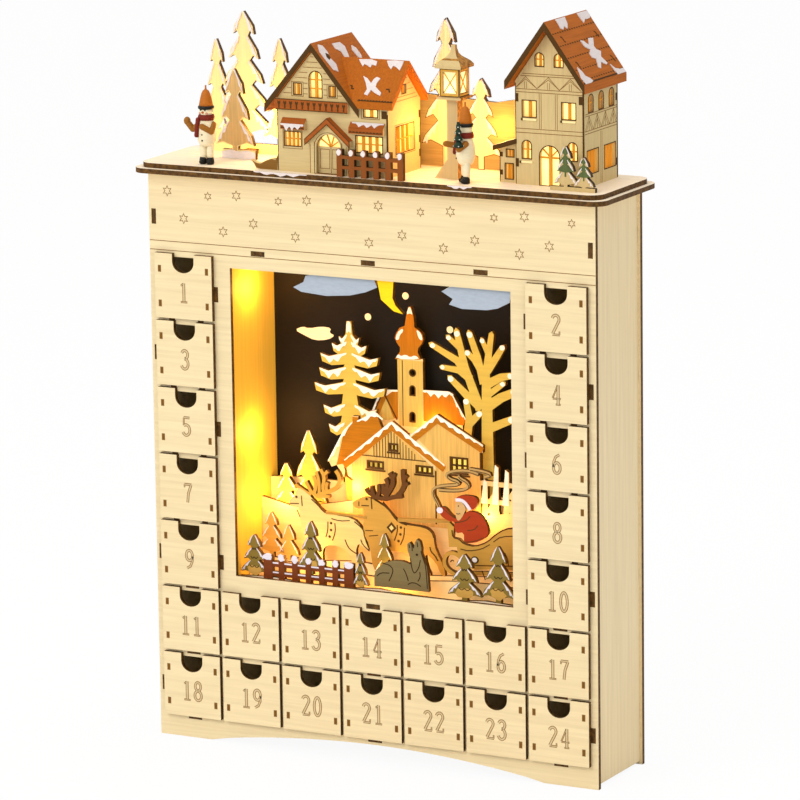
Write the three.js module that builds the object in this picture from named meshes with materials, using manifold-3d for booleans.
// Advent calendar: a plywood case with twenty-four drawers round a lit scene, and a village on top.
// Millimetres. X runs to the right seen from the front, Y to the back, Z up. Z is 0 under the feet.

import * as THREE from 'three';
import { mergeVertices } from 'three/addons/utils/BufferGeometryUtils.js';
import Module from 'manifold-3d';

const wasm = await Module();
wasm.setup();

// Sheet and clearances
const PLY = 3;
const SLOT_PLAY = 0.1;
const SLIDE_PLAY = 0.5;
const GLUE_GAP = 0.3;

// Drawer grid
const COLUMNS = 7;
const ROWS = 7;
const PITCH_X = 41.8;
const PITCH_Z = 41.6;
const FRONT_GAP_X = 2.2;
const FRONT_GAP_Z = 1.8;
const FRONT_OVERLAY_BELOW = 0.8;
const OPENING_DROP = 1.9;
const RAIL_X = 5;
const TRAY_TOP_GAP = 1.8;
const TRAY_BACK_GAP = 3;
const NOTCH_WIDTH = 15;
const NOTCH_DEPTH = 11.5;
const NOTCH_STRAIGHT = 5;

// Case
const CASE_DEPTH = 64;
const EDGE_MARGIN = 3.7;
const FLOOR_Z = 11.7;
const HEADER_RISE = 2.4;
const HEADER_SPACE = 44;
const SIDE_INSET = 1.8;
const SIDE_LIFT = 2;
const FOOT_WIDTH = 36;
const ARCH_HEIGHT = 10;
const TAB_LENGTH = 9.2;
const SMALL_TAB = 4;
const SMALL_TAB_SPACING = 20;
const HEADER_TAB_SPACING = 75;
const LOWER_OVERHANG = 7.8;
const UPPER_OVERHANG = 4.4;
const PLATE_CORNER = 9;

// Window and lit scene
const WINDOW_MARGIN_X = 10;
const WINDOW_SILL = 7.9;
const WINDOW_LINTEL = 8.5;
const LINER_INSET = 2.1;
const LAYER_FRONT = 8;
const LAYER_SLEIGH = 20;
const LAYER_TEAM = 27;
const COTTAGES_FROM_SKY = 21;
const TREES_FROM_SKY = 15;
const CHURCH_FROM_SKY = 9;

// Village
const LEFT_HOUSE_X = -36.5;
const LEFT_HOUSE_HALF = 24.5;
const LEFT_HOUSE_APEX = 73;
const LEFT_HOUSE_FRONT = 2;
const LEFT_HOUSE_DEPTH = 46;
const WING_LENGTH = 26;
const WING_DEPTH = 41;
const WING_APEX = 63;
const WING_SLOPE = 45;
const RIGHT_HOUSE_X = 113.7;
const RIGHT_HOUSE_HALF = 22.5;
const RIGHT_HOUSE_APEX = 92;
const RIGHT_HOUSE_FRONT = 15;
const RIGHT_HOUSE_DEPTH = 45;
const ROOF_SLOPE = 50;
const STEEP_SLOPE = 54;
const ROOF_OVERHANG = 6;
const LAMP_X = 50.5;
const LAMP_Y = 17;
const POST_SIDE = 7;
const LANTERN_SIDE = 12.8;
const LANTERN_HEIGHT = 17;
const LANTERN_Z = 49.5;
const TREE_BOARD_GAP = 4;
const SMALL_FIR_X = -106;
const SMALL_FIR_Y = 30;

// Battery holder in the back of the header
const HOLDER_X = 60;
const HOLDER_LENGTH = 72;
const HOLDER_HEIGHT = 26;
const HOLDER_DEPTH = 19;
const HOLDER_WALL = 1.6;
const HOLDER_RIM = 3;
const COVER_THICKNESS = 1.6;
const SWITCH_TRAVEL = 4;

// Derived sizes
const HALF_WIDTH = (COLUMNS * PITCH_X) / 2 + EDGE_MARGIN;
const FRONT_Y = -CASE_DEPTH / 2;
const BACK_Y = CASE_DEPTH / 2;
const INNER_FRONT = FRONT_Y + PLY;
const INNER_BACK = BACK_Y - PLY;
const SIDE_OUTER = HALF_WIDTH - SIDE_INSET;
const SIDE_INNER = SIDE_OUTER - PLY;
const MIDDLE_Z = FLOOR_Z + 2 * PITCH_Z;
const SCENE_FLOOR = MIDDLE_Z + PLY;
const HEADER_Z = FLOOR_Z + ROWS * PITCH_Z + HEADER_RISE;
const PANEL_TOP = HEADER_Z + PLY + HEADER_SPACE;
const PLATE_TOP = PANEL_TOP + 2 * PLY;
const COLUMN_X = ((COLUMNS - 1) / 2) * PITCH_X;
const PARTITION_X = (COLUMNS / 2 - 1) * PITCH_X;
const WINDOW_HALF = PARTITION_X - WINDOW_MARGIN_X;
const LINER_INNER = WINDOW_HALF + LINER_INSET;
const WINDOW_LOW = SCENE_FLOOR + WINDOW_SILL;
const WINDOW_HIGH = HEADER_Z - WINDOW_LINTEL;
const OPENING_WIDTH = PITCH_X - RAIL_X;
const OPENING_HEIGHT = PITCH_Z - PLY - OPENING_DROP;
const TRAY_WIDTH = OPENING_WIDTH - 2 * SLIDE_PLAY;
const TRAY_HEIGHT = OPENING_HEIGHT - TRAY_TOP_GAP;
const TRAY_LENGTH = CASE_DEPTH - PLY - TRAY_BACK_GAP;
const FRONT_WIDTH = PITCH_X - FRONT_GAP_X;
const FRONT_HEIGHT = PITCH_Z - FRONT_GAP_Z;
const LAYER_HALF = LINER_INNER - GLUE_GAP;
const SKY_FACE = CASE_DEPTH - 2 * PLY;
const LAYER_COTTAGES = SKY_FACE - COTTAGES_FROM_SKY;
const LAYER_TREES = SKY_FACE - TREES_FROM_SKY;
const LAYER_CHURCH = SKY_FACE - CHURCH_FROM_SKY;
const TREE_BOARD_Y = LEFT_HOUSE_FRONT + LEFT_HOUSE_DEPTH + TREE_BOARD_GAP;

const X_AXIS = new THREE.Vector3(1, 0, 0);
const Y_AXIS = new THREE.Vector3(0, 1, 0);
const Z_AXIS = new THREE.Vector3(0, 0, 1);
const UPRIGHT = new THREE.Matrix4().makeBasis(X_AXIS, Z_AXIS, Y_AXIS.clone().negate());
const CROSSWISE = new THREE.Matrix4().makeBasis(Y_AXIS, Z_AXIS, X_AXIS);

// Conversions between three.js geometry and solids for cutting and joining
function solidOf(geometry) {
  const bare = new THREE.BufferGeometry();
  bare.setAttribute('position', geometry.getAttribute('position'));
  if (geometry.index) bare.setIndex(geometry.index);
  const welded = mergeVertices(bare, 1e-4);
  return new wasm.Manifold(new wasm.Mesh({
    numProp: 3,
    vertProperties: new Float32Array(welded.getAttribute('position').array),
    triVerts: new Uint32Array(welded.index.array),
  }));
}

function geometryOf(solid) {
  const mesh = solid.getMesh();
  const indexed = new THREE.BufferGeometry();
  indexed.setAttribute('position', new THREE.BufferAttribute(Float32Array.from(mesh.vertProperties), 3));
  indexed.setIndex(new THREE.BufferAttribute(Uint32Array.from(mesh.triVerts), 1));
  const geometry = indexed.toNonIndexed();
  geometry.computeVertexNormals();
  return geometry;
}

function union(solids) {
  return solids.reduce((whole, solid) => whole.add(solid));
}

function cut(solid, tools) {
  return tools.reduce((rest, tool) => rest.subtract(tool), solid);
}

// Extrusions of flat outlines
function extruded(shape, depth, matrix, x, y, z) {
  const geometry = new THREE.ExtrudeGeometry(shape, { depth, bevelEnabled: false, curveSegments: 6 });
  if (matrix) geometry.applyMatrix4(matrix);
  geometry.translate(x, y, z);
  return solidOf(geometry);
}

function upright(shape, yFront, thickness = PLY) {
  return extruded(shape, thickness, UPRIGHT, 0, yFront + thickness, 0);
}

function crosswise(shape, xLeft, thickness = PLY) {
  return extruded(shape, thickness, CROSSWISE, xLeft, 0, 0);
}

function lying(shape, zLow, thickness = PLY) {
  return extruded(shape, thickness, null, 0, 0, zLow);
}

function block(x0, x1, y0, y1, z0, z1) {
  const geometry = new THREE.BoxGeometry(x1 - x0, y1 - y0, z1 - z0);
  geometry.translate((x0 + x1) / 2, (y0 + y1) / 2, (z0 + z1) / 2);
  return solidOf(geometry);
}

// Outlines
function polygon(corners) {
  return new THREE.Shape(corners.map(([x, y]) => new THREE.Vector2(x, y)));
}

function rectangle(x0, y0, x1, y1) {
  return polygon([[x0, y0], [x1, y0], [x1, y1], [x0, y1]]);
}

function ellipse(x, y, rx, ry, turn = 0, points = 10) {
  const corners = [];
  for (let i = 0; i < points; i += 1) {
    const angle = (i / points) * Math.PI * 2;
    const u = rx * Math.cos(angle);
    const v = ry * Math.sin(angle);
    corners.push([x + u * Math.cos(turn) - v * Math.sin(turn), y + u * Math.sin(turn) + v * Math.cos(turn)]);
  }
  return polygon(corners);
}

function arched(x, low, halfWidth, height) {
  const shape = new THREE.Shape();
  shape.moveTo(x - halfWidth, low);
  shape.lineTo(x + halfWidth, low);
  shape.lineTo(x + halfWidth, low + height - halfWidth);
  shape.absarc(x, low + height - halfWidth, halfWidth, 0, Math.PI, false);
  return shape;
}

function hills(low, left, right, level, swell, waves) {
  const corners = [[right, low]];
  const steps = 8;
  for (let i = 0; i <= steps; i += 1) {
    const t = i / steps;
    corners.push([right + (left - right) * t, level + swell * Math.sin(waves * Math.PI * t)]);
  }
  corners.push([left, low]);
  return polygon(corners);
}

// Snow pine: drooping tiers that widen towards the foot
function pine(x, low, top, halfWidth, tiers, lean = 0) {
  const foot = low + (top - low) * 0.14;
  const right = [];
  for (let i = 0; i < tiers; i += 1) {
    const share = (i + 1) / tiers;
    const tip = top + (foot - top) * share;
    const shoulder = top + (foot - top) * (share - 0.42 / tiers);
    const reach = halfWidth * (0.22 + 0.78 * share);
    right.push([reach * 0.86, shoulder]);
    right.push([reach, tip + (top - low) * 0.01]);
    right.push([reach * 0.62, tip + (top - low) * 0.035]);
    if (i < tiers - 1) right.push([reach * 0.42, tip]);
  }
  right.push([halfWidth * 0.16, foot]);
  right.push([halfWidth * 0.16, low]);
  const place = (side) => ([u, z]) => [x + side * u + lean * (z - low), z];
  const tip = [x + lean * (top - low), top];
  return polygon([tip, ...right.map(place(1)), ...right.map(place(-1)).reverse()].reverse());
}

// Row and column of each drawer: two side columns from the top down, then two full rows
function drawerCells() {
  const cells = [];
  for (let row = ROWS - 1; row > 1; row -= 1) cells.push([0, row]);
  for (let row = ROWS - 1; row > 1; row -= 1) cells.push([COLUMNS - 1, row]);
  const paired = cells.slice(0, cells.length / 2).flatMap((cell, i) => [cell, cells[i + cells.length / 2]]);
  for (let row = 1; row >= 0; row -= 1) {
    for (let column = 0; column < COLUMNS; column += 1) paired.push([column, row]);
  }
  return paired;
}

function cellX(column) {
  return column * PITCH_X - COLUMN_X;
}

function cellZ(row) {
  return FLOOR_Z + PLY + row * PITCH_Z;
}

// Tabs, as rectangles on the front and back panels
function sideTabs(side) {
  const centres = [0, 2, 5].map((row) => cellZ(row) + OPENING_HEIGHT / 2);
  centres.push(HEADER_Z + PLY + HEADER_SPACE * 0.38);
  const x = side < 0 ? -SIDE_OUTER : SIDE_INNER;
  return centres.map((z) => [x, x + PLY, z - TAB_LENGTH / 2, z + TAB_LENGTH / 2]);
}

function partitionTabs(side) {
  const x = side * PARTITION_X - PLY / 2;
  return [2, 4, 6].map((row) => cellZ(row) + OPENING_HEIGHT * 0.42)
    .map((z) => [x, x + PLY, z - TAB_LENGTH / 2, z + TAB_LENGTH / 2]);
}

function shelfTabs(z, spacing = COLUMN_X) {
  return [-spacing, 0, spacing].map((x) => [x - TAB_LENGTH / 2, x + TAB_LENGTH / 2, z, z + PLY]);
}

function smallShelfTabs(side, row) {
  const z = cellZ(row) - PLY;
  return [-1, 1].map((end) => side * COLUMN_X + (end * SMALL_TAB_SPACING) / 2)
    .map((x) => [x - SMALL_TAB / 2, x + SMALL_TAB / 2, z, z + PLY]);
}

const SMALL_SHELF_ROWS = [3, 4, 5, 6];
const FRONT_TABS = [
  ...sideTabs(-1),
  ...sideTabs(1),
  ...partitionTabs(-1),
  ...partitionTabs(1),
  ...shelfTabs(FLOOR_Z),
  ...shelfTabs(FLOOR_Z + PITCH_Z),
  ...shelfTabs(MIDDLE_Z),
  ...shelfTabs(HEADER_Z, HEADER_TAB_SPACING),
  ...SMALL_SHELF_ROWS.flatMap((row) => [...smallShelfTabs(-1, row), ...smallShelfTabs(1, row)]),
];
const BACK_TABS = [
  ...sideTabs(-1),
  ...sideTabs(1),
  ...shelfTabs(FLOOR_Z),
  ...shelfTabs(MIDDLE_Z),
  ...shelfTabs(HEADER_Z, HEADER_TAB_SPACING),
];

function frontTabs(tabs) {
  return tabs.map(([x0, x1, z0, z1]) => block(x0, x1, FRONT_Y, INNER_FRONT + 1, z0, z1));
}

function backTabs(tabs) {
  return tabs.map(([x0, x1, z0, z1]) => block(x0, x1, INNER_BACK - 1, BACK_Y, z0, z1));
}

function slots(tabs, y0, y1) {
  return tabs.map(([x0, x1, z0, z1]) => block(
    x0 - SLOT_PLAY,
    x1 + SLOT_PLAY,
    y0,
    y1,
    z0 - SLOT_PLAY,
    z1 + SLOT_PLAY,
  ));
}

// Front and back sheets share an outline with two feet and a low arch between them
function sheetOutline() {
  const arch = HALF_WIDTH - FOOT_WIDTH;
  const corners = [[-HALF_WIDTH, 0]];
  const steps = 20;
  for (let i = 0; i <= steps; i += 1) {
    const t = i / steps;
    corners.push([-arch + 2 * arch * t, ARCH_HEIGHT * Math.sin(Math.PI * t) ** 0.8]);
  }
  corners.push([HALF_WIDTH, 0], [HALF_WIDTH, PANEL_TOP], [-HALF_WIDTH, PANEL_TOP]);
  return polygon(corners);
}

function frontPanel() {
  const y0 = FRONT_Y - 1;
  const y1 = INNER_FRONT + 1;
  const openings = drawerCells().map(([column, row]) => block(
    cellX(column) - OPENING_WIDTH / 2,
    cellX(column) + OPENING_WIDTH / 2,
    y0,
    y1,
    cellZ(row),
    cellZ(row) + OPENING_HEIGHT,
  ));
  const window = block(-WINDOW_HALF, WINDOW_HALF, y0, y1, WINDOW_LOW, WINDOW_HIGH);
  return cut(upright(sheetOutline(), FRONT_Y), [window, ...openings, ...slots(FRONT_TABS, y0, y1)]);
}

function backPanel() {
  const z = HEADER_Z + PLY + HEADER_SPACE / 2;
  const holderHole = block(
    HOLDER_X - HOLDER_LENGTH / 2 - SLOT_PLAY,
    HOLDER_X + HOLDER_LENGTH / 2 + SLOT_PLAY,
    INNER_BACK - 1,
    BACK_Y + 1,
    z - HOLDER_HEIGHT / 2 - SLOT_PLAY,
    z + HOLDER_HEIGHT / 2 + SLOT_PLAY,
  );
  const tabSlots = slots(BACK_TABS, INNER_BACK - 1, BACK_Y + 1);
  return cut(upright(sheetOutline(), INNER_BACK), [holderHole, ...tabSlots]);
}

function sidePanel(side) {
  const x = side < 0 ? -SIDE_OUTER : SIDE_INNER;
  const board = block(x, x + PLY, INNER_FRONT, INNER_BACK, SIDE_LIFT, PANEL_TOP);
  return union([board, ...frontTabs(sideTabs(side)), ...backTabs(sideTabs(side))]);
}

function fullShelf(z, spacing, back = true) {
  const tabs = shelfTabs(z, spacing);
  const board = block(-SIDE_INNER, SIDE_INNER, INNER_FRONT, INNER_BACK, z, z + PLY);
  return union([board, ...frontTabs(tabs), ...(back ? backTabs(tabs) : [])]);
}

// Bottom rows: a shelf halved into six uprights
function drawerGrid() {
  const pieces = [fullShelf(FLOOR_Z + PITCH_Z, COLUMN_X, false)];
  for (let i = 1; i < COLUMNS; i += 1) {
    const x = cellX(i) - PITCH_X / 2;
    pieces.push(block(x - PLY / 2, x + PLY / 2, INNER_FRONT, INNER_BACK, FLOOR_Z + PLY, MIDDLE_Z));
  }
  return union(pieces);
}

// Side columns: an upright partition with the four shelves halved into it
function columnRack(side) {
  const x = side * PARTITION_X;
  const partition = block(x - PLY / 2, x + PLY / 2, INNER_FRONT, INNER_BACK, SCENE_FLOOR, HEADER_Z);
  const shelves = SMALL_SHELF_ROWS.map((row) => block(
    side < 0 ? -SIDE_INNER : x,
    side < 0 ? x : SIDE_INNER,
    INNER_FRONT,
    INNER_BACK,
    cellZ(row) - PLY,
    cellZ(row),
  ));
  const tabs = SMALL_SHELF_ROWS.flatMap((row) => smallShelfTabs(side, row));
  return union([partition, ...shelves, ...frontTabs([...partitionTabs(side), ...tabs])]);
}

function topPlate(overhang, z) {
  const x = HALF_WIDTH + overhang;
  const y = CASE_DEPTH / 2 + overhang;
  const r = PLATE_CORNER;
  const shape = new THREE.Shape();
  shape.moveTo(-x + r, -y);
  shape.lineTo(x - r, -y);
  shape.absarc(x - r, -y + r, r, -Math.PI / 2, 0, false);
  shape.lineTo(x, y - r);
  shape.absarc(x - r, y - r, r, 0, Math.PI / 2, false);
  shape.lineTo(-x + r, y);
  shape.absarc(-x + r, y - r, r, Math.PI / 2, Math.PI, false);
  shape.lineTo(-x, -y + r);
  shape.absarc(-x + r, -y + r, r, Math.PI, Math.PI * 1.5, false);
  return lying(shape, z);
}

// Drawer, with its origin at the middle of the tray's lower front edge
function drawer() {
  const front = new THREE.Shape();
  const low = -FRONT_OVERLAY_BELOW;
  const high = low + FRONT_HEIGHT;
  const half = FRONT_WIDTH / 2;
  front.moveTo(-half, low);
  front.lineTo(half, low);
  front.lineTo(half, high);
  front.lineTo(NOTCH_WIDTH / 2, high);
  front.lineTo(NOTCH_WIDTH / 2, high - NOTCH_STRAIGHT);
  front.absellipse(0, high - NOTCH_STRAIGHT, NOTCH_WIDTH / 2, NOTCH_DEPTH - NOTCH_STRAIGHT, 0, Math.PI, true);
  front.lineTo(-NOTCH_WIDTH / 2, high);
  front.lineTo(-half, high);
  const tray = block(-TRAY_WIDTH / 2, TRAY_WIDTH / 2, -1, TRAY_LENGTH, 0, TRAY_HEIGHT);
  const room = block(-TRAY_WIDTH / 2 + PLY, TRAY_WIDTH / 2 - PLY, 0, TRAY_LENGTH - PLY, PLY, TRAY_HEIGHT + 1);
  const mouth = block(-NOTCH_WIDTH / 2, NOTCH_WIDTH / 2, -2, 1, high - NOTCH_DEPTH, TRAY_HEIGHT + 1);
  const face = upright(front, -PLY);
  const walls = cut(tray, [room, block(-TRAY_WIDTH, TRAY_WIDTH, -2, 0, -1, TRAY_HEIGHT + 1)]);
  return cut(union([face, walls]), [mouth.intersect(walls)]);
}

// Flat layer of the lit scene: outlines joined into one sheet
function layer(outlines, distance, thickness = PLY) {
  return union(outlines.map((outline) => upright(outline, FRONT_Y + distance, thickness)));
}

// Outline drawn in millimetres above the scene's floor
function figure(corners) {
  return polygon(corners.map(([x, z]) => [x, SCENE_FLOOR + z]));
}

// Bough along a bent line, thinning to a rounded tip
function bough(line, w0, w1) {
  const left = [];
  const right = [];
  line.forEach(([x, z], i) => {
    const [ax, az] = line[Math.max(i - 1, 0)];
    const [bx, bz] = line[Math.min(i + 1, line.length - 1)];
    const length = Math.hypot(bx - ax, bz - az);
    const half = (w0 + ((w1 - w0) * i) / (line.length - 1)) / 2;
    const nx = (-(bz - az) / length) * half;
    const nz = ((bx - ax) / length) * half;
    left.push([x + nx, z + nz]);
    right.push([x - nx, z - nz]);
    if (i === line.length - 1) left.push([x + nz, z - nx]);
  });
  return figure([...right, ...left.slice(-1), ...left.slice(0, -1).reverse()]);
}

// Pine whose boughs turn up at the tip and drip with snow, from heights and reaches
function snowPine(x, low, top, tiers, stem) {
  const side = [];
  for (const [z, reach] of tiers) {
    const body = 1.5 + (top - z) * stem;
    side.push([body, z + 4], [reach * 0.7, z + 0.8], [reach, z + 2.4], [reach - 1.2, z - 2.6]);
    side.push([reach * 0.62, z - 4.6], [body, z - 3.4]);
  }
  side.push([2.6, low + 3], [2.6, low]);
  return figure([
    [x - 1.6, top],
    ...side.map(([u, z]) => [x - u, z]),
    ...side.map(([u, z]) => [x + u, z]).reverse(),
    [x + 1.6, top],
  ]);
}

const RAILS = [[0.2, 0.38], [0.56, 0.74]];

function picketFence(left, right, low, high, pickets, picketWidth, post, rails = RAILS) {
  const outlines = rails.map(([from, to]) => (
    rectangle(left, low + (high - low) * from, right, low + (high - low) * to)
  ));
  for (let i = 0; i < pickets; i += 1) {
    const x = left + post / 2 + ((right - left - post) * i) / (pickets - 1);
    const half = (i === 0 || i === pickets - 1 ? post : picketWidth) / 2;
    outlines.push(rectangle(x - half, low, x + half, high));
  }
  return outlines;
}

function frontLayer() {
  const floor = SCENE_FLOOR;
  return layer([
    hills(floor, -LAYER_HALF, LAYER_HALF, floor + 6.6, 1.2, 5),
    ...picketFence(-79.4, -17.2, floor + 5, floor + 21.5, 7, 4, 6.4),
    pine(-86, floor + 5, floor + 33, 9.6, 3),
    pine(-46.5, floor + 12, floor + 45, 8.6, 3),
    pine(-12.6, floor + 5, floor + 29, 5.2, 3),
    pine(58, floor + 5, floor + 35, 11.5, 3),
    pine(80.6, floor + 5, floor + 42, 11, 3),
    figure([
      [-8, 4], [40, 4], [34, 10.5], [32, 22.5], [30.5, 26.5], [29, 31], [29.5, 35.5], [28.5, 40],
      [26.5, 41], [24.6, 38], [24, 34.5], [22.5, 37], [20.5, 38], [19.5, 34], [22, 30.5], [22, 26.5],
      [19.5, 25], [14.5, 26], [9, 26], [3, 23], [-1, 18.5], [-3, 14.5], [-2, 9],
    ]),
  ], LAYER_FRONT);
}

// Sleigh with its driver, a curl of whip, and a fir in front of the team
function sleighLayer() {
  const floor = SCENE_FLOOR;
  const runner = new THREE.Shape();
  runner.absarc(45, floor + 28.5, 6.6, Math.PI * 0.1, Math.PI * 1.5, false);
  runner.lineTo(84, floor + 20);
  runner.lineTo(84, floor + 22.4);
  runner.lineTo(45, floor + 24.4);
  runner.absarc(45, floor + 28.5, 4.1, Math.PI * 1.5, Math.PI * 0.1, true);
  return layer([
    hills(floor, -LAYER_HALF, LAYER_HALF, floor + 13, 2, 3),
    pine(-2.4, floor + 10, floor + 39, 7, 3),
    figure([
      [41, 49.5], [44, 49], [44, 43], [49.5, 40], [59.5, 39], [66, 42], [71.5, 46], [76.5, 49.5], [83.5, 52],
      [94, 53], [94, 24], [73.5, 22], [62, 21], [55.5, 24], [50.5, 27], [48, 33], [43, 39.5], [40.5, 44],
    ]),
    runner,
    bough([[60, 30], [57, 10]], 3, 3),
    bough([[78, 30], [80, 10]], 3, 3),
    figure([
      [34, 57.5], [34, 54.5], [41, 51], [45.5, 48], [47.5, 44.5], [52, 45], [52, 38], [64.5, 38],
      [68.5, 45.5], [67.5, 49.5], [65.5, 54], [62.5, 58], [58, 59.5], [53, 58.5], [50, 53], [46, 54],
      [42.5, 56], [37.5, 59],
    ]),
    ellipse(51.5, floor + 58.4, 5, 6.2),
    figure([
      [46.5, 62.5], [46.5, 65.5], [49, 67.5], [54, 68.5], [58, 68], [61, 66.5], [61.5, 63], [60.5, 61],
      [58, 59.6], [54, 59],
    ]),
    bough([[34.8, 56], [33, 62], [31.4, 70], [37, 72.5], [46.5, 72.5], [51.5, 74.6]], 2.6, 2.4),
    bough([[51.4, 73.6], [49, 77], [42, 78], [41, 81], [50, 83.2], [60, 83.5], [68, 80.6]], 2.4, 1.6),
  ], LAYER_SLEIGH);
}

const DEER_NEAR = [
  [-71.5, 49.5], [-71.5, 52], [-68, 54.5], [-66, 60], [-62.5, 60], [-55.5, 55], [-48, 47], [-40, 45.5],
  [-27.5, 45], [-21, 39.5], [-19.5, 32], [-16, 25], [-21, 27.5], [-24, 29.5], [-26, 24], [-23.5, 14],
  [-27, 14], [-31.5, 24], [-38.5, 26.5], [-46, 26], [-49, 22.5], [-48.5, 14], [-52.5, 14], [-56, 25.5],
  [-61.5, 32], [-64, 39], [-64.5, 48], [-68.5, 48],
];
const DEER_FAR = [
  [-28, 54.5], [-20.5, 59], [-14.5, 58.5], [-9.5, 56], [-4.5, 53.5], [0, 49], [4.5, 45.5], [11.5, 44.5],
  [19, 44.5], [24, 43.5], [27.5, 40], [28, 35], [29, 30.5], [34.5, 20.5], [35.5, 14], [32, 16], [29, 23],
  [21.5, 28.5], [23, 19.5], [26, 14], [22.5, 14], [16.5, 25], [9, 27], [-5, 27], [-8.5, 21.5], [-10, 14],
  [-14, 14], [-16, 28.5], [-21, 37.5], [-19, 52], [-24, 51], [-27, 52.5],
];
const ANTLERS_NEAR = [
  [-66, 57], [-65.5, 61], [-62, 65.5], [-60.5, 62], [-58.5, 69], [-55, 64], [-52.5, 68], [-49.5, 72.5],
  [-48.5, 67], [-44.5, 73.5], [-43, 68], [-41.5, 63], [-36.5, 66], [-35.5, 71.5], [-38, 74.5], [-34, 73],
  [-33.5, 66], [-38, 60], [-48.5, 56], [-55.5, 54],
];
const ANTLERS_FAR = [
  [-20, 62], [-15.5, 66], [-12.5, 62.5], [-8.5, 65], [-6, 70.5], [-3.5, 69], [-2, 75], [2, 76], [1.5, 69],
  [3.5, 70], [4.5, 75], [7, 79.5], [10, 75], [11, 70.5], [8.5, 66.5], [4.5, 64], [7, 62], [1, 59.5],
  [-3.5, 57], [-10, 55.5],
];

function teamLayer() {
  const floor = SCENE_FLOOR;
  return layer([
    hills(floor, -LAYER_HALF, LAYER_HALF, floor + 16, 2, 4),
    figure(DEER_NEAR),
    figure(DEER_FAR),
    figure(ANTLERS_NEAR),
    figure(ANTLERS_FAR),
    pine(-84.5, floor + 14, floor + 43, 9, 3),
    pine(-72.5, floor + 14, floor + 36, 7, 2),
    bough([[-48, 46.4], [-20, 46.4]], 1.8, 1.8),
    bough([[2, 46.8], [20, 48.4], [38, 49.6]], 3.4, 3.4),
    bough([[38, 49.6], [40, 12]], 3, 3),
  ], LAYER_TEAM);
}

// Cottages with bargeboards over their eaves, a garden fence and pines
function cottagesLayer() {
  const floor = SCENE_FLOOR;
  const pickets = [[57, 75], [64.5, 84.5], [71.5, 82], [78.5, 78], [85.5, 80]];
  const sheet = layer([
    hills(floor, -LAYER_HALF, LAYER_HALF, floor + 50, 5, 4),
    figure([
      [-32.5, 40], [24, 40], [24, 77.5], [29.5, 76], [30.5, 81], [-5, 105], [-38, 77], [-36.5, 67], [-32, 66],
    ]),
    figure([[20, 40], [55, 40], [55, 91], [56.5, 91], [56.5, 95.5], [26, 112], [7, 98], [9.5, 91]]),
    figure([
      [-12, 100], [-37, 76], [-38.5, 67], [-43.5, 74.5], [-47, 73], [-49, 76.5], [-38, 96], [-32, 102],
      [-32, 106], [-28, 106], [-28, 103], [-16, 110],
    ]),
    ...pickets.map(([x, top]) => figure([[x - 2.4, 40], [x + 2.4, 40], [x + 2.4, top - 1.6], [x, top]])),
    rectangle(55, floor + 60, 88, floor + 63),
    rectangle(55, floor + 71, 88, floor + 74),
    pine(77, floor + 44, floor + 71, 8, 3),
    pine(63, floor + 44, floor + 67, 6, 3),
  ], LAYER_COTTAGES);
  const windows = [
    [-21.9, 75, -11.3, 79],
    [11.5, 75, 22.1, 79],
    [-6.9, 87, -1.3, 91],
    [34.8, 77, 46.2, 86.4],
  ];
  return cut(sheet, windows.map(([x0, z0, x1, z1]) => (
    upright(rectangle(x0, floor + z0, x1, floor + z1), FRONT_Y + LAYER_COTTAGES - 1, PLY + 2)
  )));
}

function treesLayer() {
  const floor = SCENE_FLOOR;
  const boughs = [
    [[[57, 40], [56.5, 118], [56, 138], [60, 163]], 9, 3.4],
    [[[54.5, 132], [50.5, 148], [45, 162.5]], 5.4, 4],
    [[[52, 116], [42, 141], [36.5, 163]], 6.4, 4],
    [[[44, 136], [36.5, 145], [19, 153.5]], 6, 3.4],
    [[[46, 134], [37.5, 139], [26, 140]], 5.4, 3],
    [[[53, 117], [42.5, 124.5], [31.5, 134]], 6.4, 3.8],
    [[[40.5, 151], [30.5, 159]], 3.8, 3.2],
    [[[55, 136], [48.5, 146], [43.5, 150.5]], 4.4, 3.6],
    [[[58, 150], [53.5, 159]], 3.6, 3.2],
    [[[57, 140], [63.5, 149.5], [67.5, 155.5]], 5, 3.6],
    [[[57, 132], [66, 137], [73, 138.5]], 5.6, 3.8],
    [[[58, 126], [68, 133.5]], 4, 3.2],
    [[[58, 119], [66, 124.5], [76, 129]], 6.4, 5],
    [[[58, 105], [74, 112]], 5.6, 4.4],
    [[[42, 90], [44.5, 110], [42.5, 121]], 6, 4],
    [[[44, 106], [52, 114]], 5, 4],
  ];
  const tiers = [[151, 7], [146.5, 12], [139.5, 20], [130.5, 21], [121, 24.5], [107.5, 18.5], [96, 15]];
  return layer([
    hills(floor, -LAYER_HALF, LAYER_HALF, floor + 46, 3, 3),
    pine(-66, floor + 40, floor + 93, 12, 3),
    pine(-82, floor + 40, floor + 71, 9, 3),
    snowPine(-36.8, 40, 163, tiers, 0.075),
    ...boughs.map(([line, w0, w1]) => bough(line, w0, w1)),
  ], LAYER_TREES);
}

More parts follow.
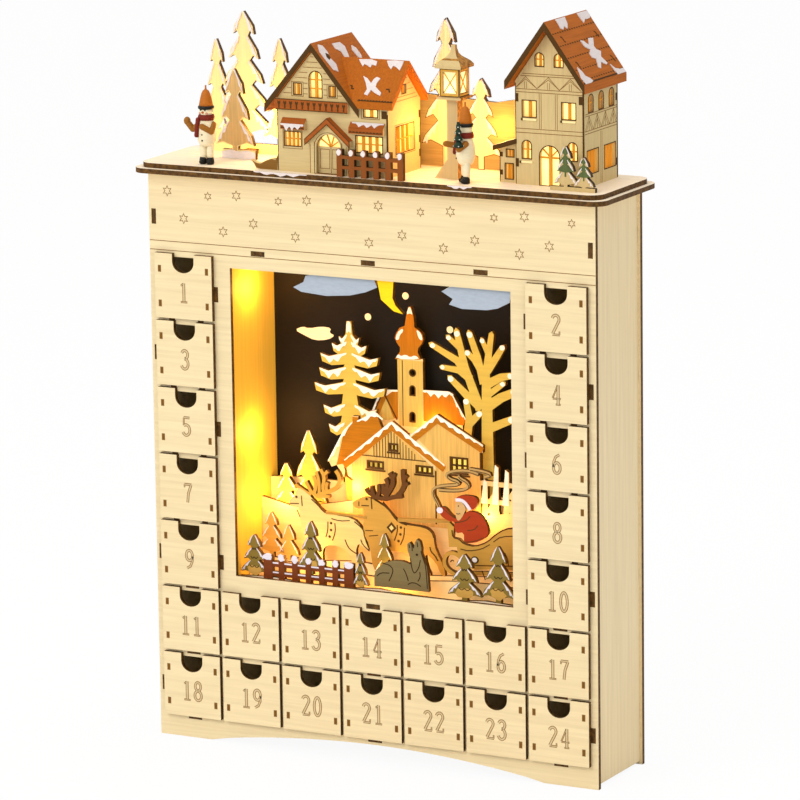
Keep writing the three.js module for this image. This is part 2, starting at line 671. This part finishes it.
function churchLayer() {
  const floor = SCENE_FLOOR;
  const sheet = layer([
    hills(floor, -LAYER_HALF, LAYER_HALF, floor + 60, 2, 3),
    figure([[-6.5, 0], [10, 0], [10.4, 142.4], [-7, 141]]),
    figure([
      [-8.5, 141], [9, 142], [7, 146.5], [7.5, 149], [10, 152], [11, 154.5], [10.5, 157.5], [8, 160],
      [5, 161.5], [4.5, 168], [2.8, 174], [1.2, 174], [-0.5, 168], [-1.5, 162], [-5, 160.5], [-7.5, 157],
      [-8.5, 154], [-7, 151], [-5, 148.5], [-5, 146],
    ]),
    figure([[-30, 40], [-5, 40], [-5, 121.6], [-18.5, 121], [-25.5, 105], [-30, 100]]),
    figure([[8, 40], [37, 40], [37, 106], [39.5, 107.5], [30.5, 122.5], [28, 123.5], [8, 123]]),
  ], LAYER_CHURCH);
  const lights = [
    ellipse(3.4, floor + 133.4, 2.1, 2.1),
    arched(3.2, floor + 119.4, 1.8, 6),
    arched(3, floor + 103, 1.8, 6),
  ];
  return cut(sheet, lights.map((light) => upright(light, FRONT_Y + LAYER_CHURCH - 1, PLY + 2)));
}

// Sheet behind the window's upper edge that carries the clouds and the moon
function skyHanger() {
  return layer([
    rectangle(-WINDOW_HALF, WINDOW_HIGH - 0.6, WINDOW_HALF, HEADER_Z),
    figure([
      [-52.5, 190], [-47, 187.5], [-30, 186.3], [-14, 187.8], [-3.5, 190.5], [4.5, 194], [2, 199.5],
      [-36, 200], [-44, 197.5], [-45.5, 193.6],
    ]),
    figure([[4.5, 199.5], [7, 187], [15.5, 180.5], [21.5, 179.3], [16.6, 184], [14.6, 188.5], [15.5, 199.5]]),
    figure([
      [47.5, 195], [55, 191], [52.5, 187.5], [61, 185.5], [77.5, 186], [84.5, 187.5], [92.5, 191.6],
      [94, 199.5], [55, 199.5],
    ]),
  ], PLY);
}

function backdrop() {
  return block(-LINER_INNER - PLY, LINER_INNER + PLY, INNER_BACK - PLY, INNER_BACK, SCENE_FLOOR, HEADER_Z);
}

function liner(side) {
  const x = side < 0 ? -LINER_INNER - PLY : LINER_INNER;
  return block(x, x + PLY, INNER_FRONT, INNER_BACK - PLY, SCENE_FLOOR, HEADER_Z);
}

function lightStrip() {
  const y = INNER_FRONT + PLY + 4;
  const lamps = [-68, -34, 0, 34, 68].map((x) => (
    block(x - 2.5, x + 2.5, y + 1.5, y + 6.5, HEADER_Z - 3, HEADER_Z - 1)
  ));
  return union([block(-LAYER_HALF * 0.85, LAYER_HALF * 0.85, y, y + 8, HEADER_Z - 1.6, HEADER_Z), ...lamps]);
}

// Gabled outline with its apex at the given height and slope in degrees
function gable(x, half, low, apex, slope) {
  const eaves = apex - half * Math.tan(THREE.MathUtils.degToRad(slope));
  return polygon([[x - half, low], [x + half, low], [x + half, eaves], [x, apex], [x - half, eaves]]);
}

function chevron(x, half, apex, slope, thickness) {
  const drop = half * Math.tan(THREE.MathUtils.degToRad(slope));
  const rise = thickness / Math.cos(THREE.MathUtils.degToRad(slope));
  return polygon([
    [x - half, apex - drop],
    [x, apex],
    [x + half, apex - drop],
    [x + half, apex - drop + rise],
    [x, apex + rise],
    [x - half, apex - drop + rise],
  ]);
}

function underRoof(x, half, low, apex, slope) {
  return gable(x, half + 20, low - 60, apex, slope);
}

// Left house: a gabled front block with a wing whose ridge runs along the plate
const LEFT_FRONT = FRONT_Y + LEFT_HOUSE_FRONT;
const WING_MIDDLE = LEFT_FRONT + WING_DEPTH / 2;
const WING_RIGHT = LEFT_HOUSE_X + LEFT_HOUSE_HALF + WING_LENGTH;

function leftHouseWalls() {
  const z = PLATE_TOP;
  const x = LEFT_HOUSE_X;
  const half = LEFT_HOUSE_HALF;
  const main = upright(gable(x, half, z, z + LEFT_HOUSE_APEX, ROOF_SLOPE), LEFT_FRONT, LEFT_HOUSE_DEPTH);
  const mainRoom = upright(
    gable(x, half - PLY, z - 1, z + LEFT_HOUSE_APEX - PLY * 1.6, ROOF_SLOPE),
    LEFT_FRONT + PLY,
    LEFT_HOUSE_DEPTH - 2 * PLY,
  );
  const wing = crosswise(gable(WING_MIDDLE, WING_DEPTH / 2, z, z + WING_APEX, WING_SLOPE), x, WING_RIGHT - x);
  const wingRoom = crosswise(
    gable(WING_MIDDLE, WING_DEPTH / 2 - PLY, z - 1, z + WING_APEX - PLY * 1.5, WING_SLOPE),
    x,
    WING_RIGHT - x - PLY,
  );
  const right = x + half;
  const balcony = block(x - half, right, LEFT_FRONT - 2, LEFT_FRONT + 1, z + 37.4, z + 44.2);
  const awningShape = polygon([
    [LEFT_FRONT, 0],
    [LEFT_FRONT - 3, 0.2],
    [LEFT_FRONT - 3, 3.6],
    [LEFT_FRONT, 6.8],
    [LEFT_FRONT + 1, 6.8],
    [LEFT_FRONT + 1, 0],
  ]);
  const awnings = [[x - half + 3.8, 16.2], [right + 0.8, 23.2]].map(([left, length]) => (
    crosswise(awningShape, left, length).translate([0, 0, z + 25.6])
  ));
  const porchX = x + 11.3;
  const jamb = gable(porchX, 12.8, z, z + 30.6, 41);
  const porch = union([
    upright(chevron(porchX, 15, z + 30.6, 41, 2.6), LEFT_FRONT - 4, 5),
    upright(jamb, LEFT_FRONT - 2, 3),
  ]);
  const doorway = upright(arched(porchX - 0.4, z - 1, 8.4, 25.2), LEFT_FRONT - 3, PLY + 4);
  const front = (shape) => upright(shape, LEFT_FRONT - 6, PLY + 7);
  const gableEnd = (shape) => crosswise(shape, WING_RIGHT - PLY - 1, PLY + 2);
  const windows = [
    front(arched(x + 2, z + 45.4, 4.4, 16)),
    front(rectangle(x - 13, z + 46.6, x - 7.6, z + 53.6)),
    front(rectangle(x + 11, z + 46.6, x + 15.4, z + 53)),
    front(rectangle(x - half + 4.7, z + 15.4, x - half + 16.1, z + 24.2)),
    front(rectangle(right + 4, z + 14.4, right + 22, z + 24.4)),
    front(rectangle(right + 9.5, z + 35.8, right + 18.9, z + 40.6)),
    gableEnd(rectangle(WING_MIDDLE - 11, z + 13, WING_MIDDLE + 12.2, z + 29.4)),
    gableEnd(rectangle(WING_MIDDLE - 3, z + 48, WING_MIDDLE + 2.6, z + 53.3)),
  ];
  const bird = upright(polygon([
    [x - 43, z + 5.6],
    [x - 41, z + 3.2],
    [x - 39.5, z + 0.6],
    [x - 36.5, z],
    [x - half + 2, z],
    [x - half + 0.5, z + 8.8],
    [x - half - 0.4, z + 9.2],
    [x - half - 1.2, z + 6.6],
    [x - 28.5, z + 7.2],
    [x - 32.5, z + 5.8],
    [x - 36.5, z + 3.6],
    [x - 40, z + 4.2],
  ]), LEFT_FRONT);
  const shell = cut(union([main, wing]), [mainRoom, wingRoom]);
  return cut(union([shell, balcony, ...awnings, porch, bird]), [doorway, ...windows]);
}

function leftHouseRoof() {
  const z = PLATE_TOP;
  const x = LEFT_HOUSE_X;
  const lift = GLUE_GAP * 1.6;
  const mainApex = z + LEFT_HOUSE_APEX + lift;
  const wingApex = z + WING_APEX + lift;
  const mainHalf = LEFT_HOUSE_HALF + ROOF_OVERHANG + 1.5;
  const wingHalf = WING_DEPTH / 2 + 2;
  const mainLength = LEFT_HOUSE_DEPTH + 6;
  const main = upright(chevron(x, mainHalf, mainApex, ROOF_SLOPE, PLY), LEFT_FRONT - 2, mainLength);
  const wing = crosswise(chevron(WING_MIDDLE, wingHalf, wingApex, WING_SLOPE, PLY), x, WING_RIGHT - x + 4);
  const mainUnder = upright(underRoof(x, mainHalf, z, mainApex, ROOF_SLOPE), LEFT_FRONT - 10, mainLength + 6);
  const wingUnder = underRoof(WING_MIDDLE, wingHalf, z, wingApex, WING_SLOPE);
  const mainCut = crosswise(wingUnder, x, WING_RIGHT - x + 6);
  return union([main.subtract(mainCut), wing.subtract(mainUnder)]);
}

// Right house: a tall gabled block with a lean-to shed
const RIGHT_FRONT = FRONT_Y + RIGHT_HOUSE_FRONT;

function rightHouseWalls() {
  const z = PLATE_TOP;
  const x = RIGHT_HOUSE_X;
  const half = RIGHT_HOUSE_HALF;
  const main = upright(gable(x, half, z, z + RIGHT_HOUSE_APEX, STEEP_SLOPE), RIGHT_FRONT, RIGHT_HOUSE_DEPTH);
  const room = upright(
    gable(x, half - PLY, z - 1, z + RIGHT_HOUSE_APEX - PLY * 1.7, STEEP_SLOPE),
    RIGHT_FRONT + PLY,
    RIGHT_HOUSE_DEPTH - 2 * PLY,
  );
  const shedDepth = RIGHT_FRONT + 3;
  const shed = upright(
    polygon([[x - half - 12, z], [x - half + 1, z], [x - half + 1, z + 24], [x - half - 12, z + 20]]),
    shedDepth,
    18,
  );
  const shedRoof = upright(
    polygon([
      [x - half - 15, z + 19],
      [x - half + 1, z + 24],
      [x - half + 1, z + 27],
      [x - half - 15, z + 22],
    ]),
    shedDepth - 3,
    24,
  );
  const shedBack = shedDepth + 18 - PLY;
  const shedRoom = block(x - half - 12 + PLY, x - half - 1, shedDepth + PLY, shedBack, z - 1, z + 19.2);
  const front = (shape) => upright(shape, RIGHT_FRONT - 1, PLY + 5);
  const sideWall = (shape) => crosswise(shape, x + half - PLY - 1, PLY + 2);
  const middle = RIGHT_FRONT + RIGHT_HOUSE_DEPTH / 2;
  const windows = [
    front(arched(x - 6.4, z + 70.4, 2.9, 8)),
    front(arched(x + 6, z + 70.4, 2.9, 8)),
    front(rectangle(x - 17.9, z + 40, x - 8.7, z + 50)),
    front(rectangle(x + 7.7, z + 40, x + 16.9, z + 50)),
    front(arched(x - 15.1, z + 15.4, 3.1, 11)),
    front(arched(x + 14.6, z + 15.8, 3.1, 11)),
    front(arched(x - 0.3, z - 1, 6.6, 25)),
    ...[-14, 0, 14].map((y) => sideWall(arched(middle + y, z + 44, 3.4, 10.6))),
    ...[-11.6, 11.6].map((y) => sideWall(rectangle(middle + y - 7.8, z + 7.6, middle + y + 7.8, z + 21.8))),
    front(rectangle(x - half - 7.6, z + 15.2, x - half - 2.4, z + 19.8)),
    front(rectangle(x - half - 8.4, z + 2, x - half - 2.8, z + 11.4)),
  ];
  return cut(union([main.subtract(room), shed.subtract(shedRoom), shedRoof]), [room, ...windows]);
}

function rightHouseRoof() {
  const apex = PLATE_TOP + RIGHT_HOUSE_APEX + GLUE_GAP * 1.8;
  const half = RIGHT_HOUSE_HALF + 3.5;
  const roof = chevron(RIGHT_HOUSE_X, half, apex, STEEP_SLOPE, PLY);
  return upright(roof, RIGHT_FRONT - 7, RIGHT_HOUSE_DEPTH + 12);
}

// Street lamp: a square post with a gusset, a glazed lantern and an ogee cap
function streetLamp() {
  const z = PLATE_TOP;
  const x = LAMP_X;
  const y = FRONT_Y + LAMP_Y;
  const side = POST_SIDE / 2;
  const post = block(x - side, x + side, y - side, y + side, z, z + LANTERN_Z);
  const brace = upright(polygon([[x, z], [x, z + 13], [x - side, z + 13], [x - 13, z]]), y - PLY / 2);
  const half = LANTERN_SIDE / 2;
  const low = z + LANTERN_Z;
  const high = low + LANTERN_HEIGHT;
  const glass = (a, b) => rectangle(a, low + 2.2, b, high - 2.2);
  const tray = block(x - half - 1.5, x + half + 1.5, y - half - 1.5, y + half + 1.5, low - 1.5, low);
  const lantern = cut(block(x - half, x + half, y - half, y + half, low - 0.5, high + 0.5), [
    upright(glass(x - half + 2, x + half - 2), y - half - 1, LANTERN_SIDE + 2),
    crosswise(glass(y - half + 2, y + half - 2), x - half - 1, LANTERN_SIDE + 2),
  ]);
  const ogee = (centre) => {
    const shape = new THREE.Shape();
    shape.moveTo(centre - half - 2.2, high);
    shape.lineTo(centre + half + 2.2, high);
    shape.lineTo(centre + half + 2.2, high + 1.6);
    shape.bezierCurveTo(centre + half, high + 6, centre + 2.2, high + 5, centre + 1.4, high + 11);
    shape.lineTo(centre + 1.2, high + 13.4);
    shape.lineTo(centre - 1.2, high + 13.4);
    shape.lineTo(centre - 1.4, high + 11);
    shape.bezierCurveTo(centre - 2.2, high + 5, centre - half, high + 6, centre - half - 2.2, high + 1.6);
    return shape;
  };
  const cap = upright(ogee(x), y - half - 2.2, LANTERN_SIDE + 4.4).intersect(
    crosswise(ogee(y), x - half - 2.2, LANTERN_SIDE + 4.4),
  );
  return union([post, brace, tray, lantern, cap]);
}

// Trees behind the houses, cut from one board, with a foot that carries a small fir
function treeBoard() {
  const z = PLATE_TOP;
  const board = layer([
    rectangle(-134, z, 86, z + 6),
    pine(-112, z, z + 87, 19.5, 5, 0.01),
    pine(-130.5, z, z + 69, 10.5, 4),
    pine(-86.4, z, z + 71.5, 12, 4),
    pine(27, z, z + 90, 17, 5),
    pine(50, z, z + 55, 14, 4),
    polygon([[8, z], [86, z], [86, z + 46], [60, z + 41], [8, z + 44]]),
  ], TREE_BOARD_Y);
  const fir = layer([pine(SMALL_FIR_X, z, z + 55, 13, 3), rectangle(-115, z, -92, z + 5.6)], SMALL_FIR_Y);
  const foot = block(
    SMALL_FIR_X - 4,
    SMALL_FIR_X + 4,
    FRONT_Y + SMALL_FIR_Y,
    FRONT_Y + TREE_BOARD_Y + PLY,
    z,
    z + PLY,
  );
  return union([board, fir, foot]);
}

function gardenFirs() {
  const z = PLATE_TOP;
  return layer([
    rectangle(119, z, 148, z + 2.5),
    pine(129, z, z + 26.4, 7.4, 3),
    pine(140.8, z, z + 20.4, 6.4, 3),
  ], 4);
}

function yardFence() {
  const z = PLATE_TOP;
  const rails = [[0.29, 0.41], [0.66, 0.79]];
  return layer(picketFence(-18, 26.4, z, z + 16.5, 6, 3.7, 3.7, rails), -UPPER_OVERHANG + 0.6);
}

// Turned snowman: round body, head and cone hat on two legs, with bent arms and boots
function turned(profile, segments = 8) {
  const geometry = new THREE.LatheGeometry(profile.map(([r, h]) => new THREE.Vector2(r, h)), segments);
  geometry.rotateX(Math.PI / 2);
  return solidOf(geometry);
}

function bead(radius, x, y, z) {
  const geometry = new THREE.SphereGeometry(radius, 8, 5);
  geometry.translate(x, y, z);
  return solidOf(geometry);
}

function sleeve(from, to, radius) {
  const start = new THREE.Vector3(...from);
  const end = new THREE.Vector3(...to);
  const geometry = new THREE.CapsuleGeometry(radius, start.distanceTo(end), 1, 5);
  const direction = end.clone().sub(start).normalize();
  geometry.applyQuaternion(new THREE.Quaternion().setFromUnitVectors(Y_AXIS, direction));
  const middle = start.add(end).multiplyScalar(0.5);
  geometry.translate(middle.x, middle.y, middle.z);
  return solidOf(geometry);
}

function snowman(facing, carriesTree) {
  const arms = carriesTree ? [
    sleeve([-4.4, -0.6, 24.4], [-4.6, -2.4, 21.4], 1.9),
    sleeve([-4.6, -2.4, 21.4], [-4.2, -11.4, 23.4], 2.1),
    sleeve([5, -1, 24], [5.6, -5.6, 21.2], 2.2),
    turned([[0, 22.6], [3.4, 22.6], [2.6, 30], [0.8, 37.6], [0, 37.6]], 6).translate([5.8, -5.6, 0]),
  ] : [
    sleeve([-4.4, 0, 24.2], [-8.8, -1, 20.9], 1.9),
    sleeve([-8.8, -1, 20.9], [-12, -2.4, 26], 2.2),
    sleeve([4.8, 0, 24.4], [5, -3, 20.4], 2.2),
    sleeve([5, -3, 20.4], [-0.4, -6, 24], 2),
  ];
  const figure = union([
    turned([[0, 12], [4.2, 12], [5.8, 17], [5.6, 22], [4.2, 27.5], [0, 27.5]]),
    bead(4.3, 0, 0, 32.2),
    turned([[0, 34], [4.8, 34], [3.4, 40.6], [2.2, 44.6], [0.6, 45.4], [0.5, 48], [0, 48]]),
    turned([[0, 26.8], [5, 26.8], [5, 30.4], [0, 30.4]]),
    sleeve([-3.4, -4.2, 27.6], [-3.8, -5.6, 18], 1.5),
    ...arms,
    ...[-2.3, 2.3].map((x) => block(x - 1.6, x + 1.6, -1.5, 1.9, 3, 13.5)),
    ...[-2.5, 2.5].map((x) => block(x - 2.3, x + 2.3, -5.6, 2.6, 0, 4.4)),
  ]);
  return figure.rotate([0, 0, facing]);
}

// Battery holder with a rim outside the back panel, rails for its cover and a slot for the switch
const HOLDER_Z = HEADER_Z + PLY + HEADER_SPACE / 2;
const HOLDER_LEFT = HOLDER_X - HOLDER_LENGTH / 2;
const HOLDER_RIGHT = HOLDER_X + HOLDER_LENGTH / 2;
const COVER_LENGTH = HOLDER_LENGTH * 0.76;
const SWITCH_X = HOLDER_LEFT + COVER_LENGTH + (HOLDER_LENGTH - COVER_LENGTH) / 2;
const RIM_OUT = BACK_Y + 1.5;
const RAIL = 1.2;

function batteryHolder() {
  const half = HOLDER_HEIGHT / 2;
  const tub = block(
    HOLDER_LEFT,
    HOLDER_RIGHT,
    BACK_Y - HOLDER_DEPTH,
    RIM_OUT,
    HOLDER_Z - half,
    HOLDER_Z + half,
  );
  const rim = block(
    HOLDER_LEFT - HOLDER_RIM,
    HOLDER_RIGHT + HOLDER_RIM,
    BACK_Y,
    RIM_OUT,
    HOLDER_Z - half - HOLDER_RIM,
    HOLDER_Z + half + HOLDER_RIM,
  );
  const bay = block(
    HOLDER_LEFT + HOLDER_WALL,
    HOLDER_LEFT + COVER_LENGTH - HOLDER_WALL,
    BACK_Y - HOLDER_DEPTH + HOLDER_WALL,
    RIM_OUT + 1,
    HOLDER_Z - half + HOLDER_WALL,
    HOLDER_Z + half - HOLDER_WALL,
  );
  const switchRoom = block(
    HOLDER_LEFT + COVER_LENGTH,
    HOLDER_RIGHT - HOLDER_WALL,
    BACK_Y - 8,
    RIM_OUT - HOLDER_WALL,
    HOLDER_Z - half + HOLDER_WALL,
    HOLDER_Z + half - HOLDER_WALL,
  );
  const switchSlot = block(
    SWITCH_X - SWITCH_TRAVEL / 2 - 2,
    SWITCH_X + SWITCH_TRAVEL / 2 + 2,
    BACK_Y - 2,
    RIM_OUT + 1,
    HOLDER_Z - 2,
    HOLDER_Z + 2,
  );
  const rails = [-1, 1].map((side) => {
    const inner = HOLDER_Z + side * (half + GLUE_GAP);
    const outer = HOLDER_Z + side * (half + HOLDER_RIM);
    const lip = HOLDER_Z + side * (half - RAIL);
    const top = RIM_OUT + COVER_THICKNESS + GLUE_GAP;
    const strip = (y0, y1, a, b) => block(HOLDER_LEFT, HOLDER_RIGHT, y0, y1, Math.min(a, b), Math.max(a, b));
    return strip(RIM_OUT - 0.5, top, inner, outer).add(strip(top, top + RAIL, lip, outer));
  });
  return cut(union([tub, rim, ...rails]), [bay, switchRoom, switchSlot]);
}

function batteryCover() {
  const half = HOLDER_HEIGHT / 2;
  const plate = block(
    HOLDER_LEFT,
    HOLDER_LEFT + COVER_LENGTH,
    RIM_OUT,
    RIM_OUT + COVER_THICKNESS,
    HOLDER_Z - half,
    HOLDER_Z + half,
  );
  const grips = [0, 1, 2].map((i) => block(
    HOLDER_LEFT + 6 + i * 3,
    HOLDER_LEFT + 7.4 + i * 3,
    RIM_OUT + COVER_THICKNESS - 0.5,
    RIM_OUT + COVER_THICKNESS + 0.8,
    HOLDER_Z - half * 0.45,
    HOLDER_Z + half * 0.45,
  ));
  return union([plate, ...grips]);
}

function switchSlider() {
  const x = SWITCH_X - SWITCH_TRAVEL / 2;
  const stem = block(x - 1.7, x + 1.7, BACK_Y - 1.5, RIM_OUT + 2, HOLDER_Z - 1.7, HOLDER_Z + 1.7);
  const footTop = RIM_OUT - HOLDER_WALL - GLUE_GAP;
  const foot = block(x - 3, x + 3, BACK_Y - 2.4, footTop, HOLDER_Z - 3.4, HOLDER_Z + 3.4);
  return union([stem, foot]);
}

const calendar = new THREE.Group();

function add(parent, name, solid, color, roughness = 0.75, metalness = 0) {
  const material = new THREE.MeshStandardMaterial({ color, roughness, metalness });
  const mesh = new THREE.Mesh(geometryOf(solid), material);
  mesh.name = name;
  parent.add(mesh);
  return mesh;
}

const BIRCH = 0xefdcb0;
const PALE_BIRCH = 0xf4e2ba;
const PLATE_BIRCH = 0xe2c48c;
const ROOF_STAIN = 0xc8701c;
const FENCE_RED = 0x8a3a16;
const NIGHT = 0x33261a;
const SCENE_BIRCH = 0xdcb468;
const SNOW = 0xf2ead8;
const FIR_GREEN = 0x3c6a3a;
const MOON_BLUE = 0xb9c4d4;
const PLASTIC_WHITE = 0xe8e8e4;
const PLASTIC_BLACK = 0x26262a;

// Case
const box = new THREE.Group();
calendar.add(box);
add(box, 'front_panel', frontPanel(), BIRCH);
add(box, 'back_panel', backPanel(), BIRCH);
add(box, 'side_panel_left', sidePanel(-1), BIRCH);
add(box, 'side_panel_right', sidePanel(1), BIRCH);
add(box, 'floor_shelf', fullShelf(FLOOR_Z, COLUMN_X), BIRCH);
add(box, 'drawer_grid', drawerGrid(), BIRCH);
add(box, 'middle_shelf', fullShelf(MIDDLE_Z, COLUMN_X), BIRCH);
add(box, 'column_rack_left', columnRack(-1), BIRCH);
add(box, 'column_rack_right', columnRack(1), BIRCH);
add(box, 'header_shelf', fullShelf(HEADER_Z, HEADER_TAB_SPACING), BIRCH);
add(box, 'top_plate_lower', topPlate(LOWER_OVERHANG, PANEL_TOP), PLATE_BIRCH);
add(box, 'top_plate_upper', topPlate(UPPER_OVERHANG, PANEL_TOP + PLY), PLATE_BIRCH);

// Drawers
const tray = geometryOf(drawer());
drawerCells().forEach(([column, row], i) => {
  const varnish = new THREE.MeshStandardMaterial({ color: PALE_BIRCH, roughness: 0.72 });
  const mesh = new THREE.Mesh(tray.clone(), varnish);
  mesh.name = `drawer_${String(i + 1).padStart(2, '0')}`;
  mesh.position.set(cellX(column), FRONT_Y, cellZ(row));
  box.add(mesh);
});

// Lit scene behind the window
const scene = new THREE.Group();
calendar.add(scene);
add(scene, 'scene_liner_left', liner(-1), 0xf0c060);
add(scene, 'scene_liner_right', liner(1), 0xf0c060);
add(scene, 'sky_backdrop', backdrop(), NIGHT);
add(scene, 'sky_hanger', skyHanger(), MOON_BLUE);
add(scene, 'church_layer', churchLayer(), SCENE_BIRCH);
add(scene, 'trees_layer', treesLayer(), SCENE_BIRCH);
add(scene, 'cottages_layer', cottagesLayer(), SCENE_BIRCH);
add(scene, 'reindeer_team', teamLayer(), 0xb07c40);
add(scene, 'santa_sleigh', sleighLayer(), 0xc8321a);
add(scene, 'front_layer', frontLayer(), SNOW);
add(scene, 'light_strip', lightStrip(), PLASTIC_WHITE, 0.5);

// Village on the upper plate
const village = new THREE.Group();
calendar.add(village);
add(village, 'tree_board', treeBoard(), SNOW);
add(village, 'left_house_walls', leftHouseWalls(), PALE_BIRCH);
add(village, 'left_house_roof', leftHouseRoof(), ROOF_STAIN);
add(village, 'right_house_walls', rightHouseWalls(), PALE_BIRCH);
add(village, 'right_house_roof', rightHouseRoof(), ROOF_STAIN);
add(village, 'street_lamp', streetLamp(), 0xe8c888);
add(village, 'yard_fence', yardFence(), FENCE_RED);
add(village, 'garden_firs', gardenFirs(), FIR_GREEN);
const waving = add(village, 'snowman_waving', snowman(0, false), SNOW);
waving.position.set(-112, FRONT_Y + 6, PLATE_TOP);
const carrying = add(village, 'snowman_with_tree', snowman(-50, true), SNOW);
carrying.position.set(63, FRONT_Y + 6, PLATE_TOP);

// Battery holder
const power = new THREE.Group();
calendar.add(power);
add(power, 'battery_holder', batteryHolder(), PLASTIC_BLACK, 0.5);
add(power, 'battery_cover', batteryCover(), PLASTIC_BLACK, 0.5);
add(power, 'switch_slider', switchSlider(), PLASTIC_WHITE, 0.4);

export default calendar;
